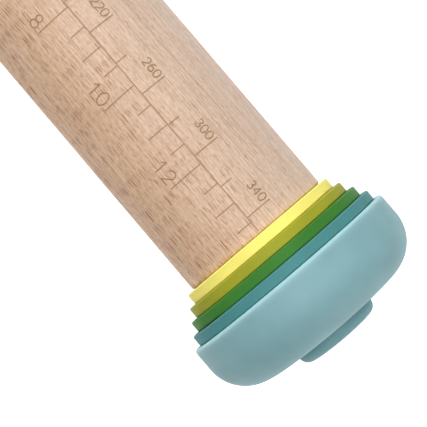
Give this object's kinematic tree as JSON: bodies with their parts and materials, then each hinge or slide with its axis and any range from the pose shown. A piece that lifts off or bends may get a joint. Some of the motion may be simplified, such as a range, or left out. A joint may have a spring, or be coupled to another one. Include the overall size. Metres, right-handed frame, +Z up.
{
  "type": "adjustable rolling pin",
  "caption": "Rolling pin of plain beech whose coloured stepped lift rings, domed end discs and screw plugs at each end set the thickness of the dough.",
  "frame": {"origin": "middle of the pin, on its axis", "axes": "+X along the pin's axis, towards the right-hand end; +Z up, with the pin lying on the rims of its end discs"},
  "size_m": [0.4186, 0.063, 0.063],
  "materials": {
    "beech": "oiled beech, satin, fine flecks along the grain",
    "yellow_plastic": "moulded, satin",
    "olive_plastic": "moulded, satin",
    "green_plastic": "moulded, satin",
    "teal_plastic": "moulded, satin",
    "pale_blue_plastic": "moulded, soft satin",
    "grey_teal_plastic": "moulded, satin",
    "socket_plastic": "moulded, natural white"
  },
  "bodies": {
    "roller": {"roller": "beech", "left_socket": "socket_plastic", "right_socket": "socket_plastic"},
    "right_end_disc": {"right_end_disc": "pale_blue_plastic"},
    "right_screw_plug": {"right_screw_plug": "grey_teal_plastic"},
    "right_yellow_ring": {"right_yellow_ring": "yellow_plastic"},
    "right_olive_ring": {"right_olive_ring": "olive_plastic"},
    "right_green_ring": {"right_green_ring": "green_plastic"},
    "right_teal_ring": {"right_teal_ring": "teal_plastic"},
    "left_end_disc": {"left_end_disc": "pale_blue_plastic"},
    "left_screw_plug": {"left_screw_plug": "grey_teal_plastic"},
    "left_yellow_ring": {"left_yellow_ring": "yellow_plastic"},
    "left_olive_ring": {"left_olive_ring": "olive_plastic"},
    "left_green_ring": {"left_green_ring": "green_plastic"},
    "left_teal_ring": {"left_teal_ring": "teal_plastic"}
  },
  "joints": [
    {"name": "right_disc_slide", "type": "slide", "parent": "roller", "child": "right_end_disc", "axis": [1, 0, 0], "range_m": [0, 0.024]},
    {"name": "right_plug_turn", "type": "hinge", "parent": "right_end_disc", "child": "right_screw_plug", "pos_m": [0.175, 0, 0], "axis": [1, 0, 0], "range_deg": [0, 2160]},
    {"name": "right_yellow_slide", "type": "slide", "parent": "roller", "child": "right_yellow_ring", "axis": [1, 0, 0], "range_m": [0, 0.0048]},
    {"name": "right_olive_slide", "type": "slide", "parent": "roller", "child": "right_olive_ring", "axis": [1, 0, 0], "range_m": [0, 0.0096]},
    {"name": "right_green_slide", "type": "slide", "parent": "roller", "child": "right_green_ring", "axis": [1, 0, 0], "range_m": [0, 0.0144]},
    {"name": "right_teal_slide", "type": "slide", "parent": "roller", "child": "right_teal_ring", "axis": [1, 0, 0], "range_m": [0, 0.0192]},
    {"name": "left_disc_slide", "type": "slide", "parent": "roller", "child": "left_end_disc", "axis": [-1, 0, 0], "range_m": [0, 0.024]},
    {"name": "left_plug_turn", "type": "hinge", "parent": "left_end_disc", "child": "left_screw_plug", "pos_m": [-0.175, 0, 0], "axis": [-1, 0, 0], "range_deg": [0, 2160]},
    {"name": "left_yellow_slide", "type": "slide", "parent": "roller", "child": "left_yellow_ring", "axis": [-1, 0, 0], "range_m": [0, 0.0048]},
    {"name": "left_olive_slide", "type": "slide", "parent": "roller", "child": "left_olive_ring", "axis": [-1, 0, 0], "range_m": [0, 0.0096]},
    {"name": "left_green_slide", "type": "slide", "parent": "roller", "child": "left_green_ring", "axis": [-1, 0, 0], "range_m": [0, 0.0144]},
    {"name": "left_teal_slide", "type": "slide", "parent": "roller", "child": "left_teal_ring", "axis": [-1, 0, 0], "range_m": [0, 0.0192]}
  ],
  "couplings": [
    {"joint": "right_plug_turn", "follows": "right_disc_slide", "rad_per_m": 1570.8},
    {"joint": "right_yellow_slide", "follows": "right_disc_slide", "ratio": 0.2},
    {"joint": "right_olive_slide", "follows": "right_disc_slide", "ratio": 0.4},
    {"joint": "right_green_slide", "follows": "right_disc_slide", "ratio": 0.6},
    {"joint": "right_teal_slide", "follows": "right_disc_slide", "ratio": 0.8},
    {"joint": "left_plug_turn", "follows": "left_disc_slide", "rad_per_m": 1570.8},
    {"joint": "left_yellow_slide", "follows": "left_disc_slide", "ratio": 0.2},
    {"joint": "left_olive_slide", "follows": "left_disc_slide", "ratio": 0.4},
    {"joint": "left_green_slide", "follows": "left_disc_slide", "ratio": 0.6},
    {"joint": "left_teal_slide", "follows": "left_disc_slide", "ratio": 0.8}
  ]
}
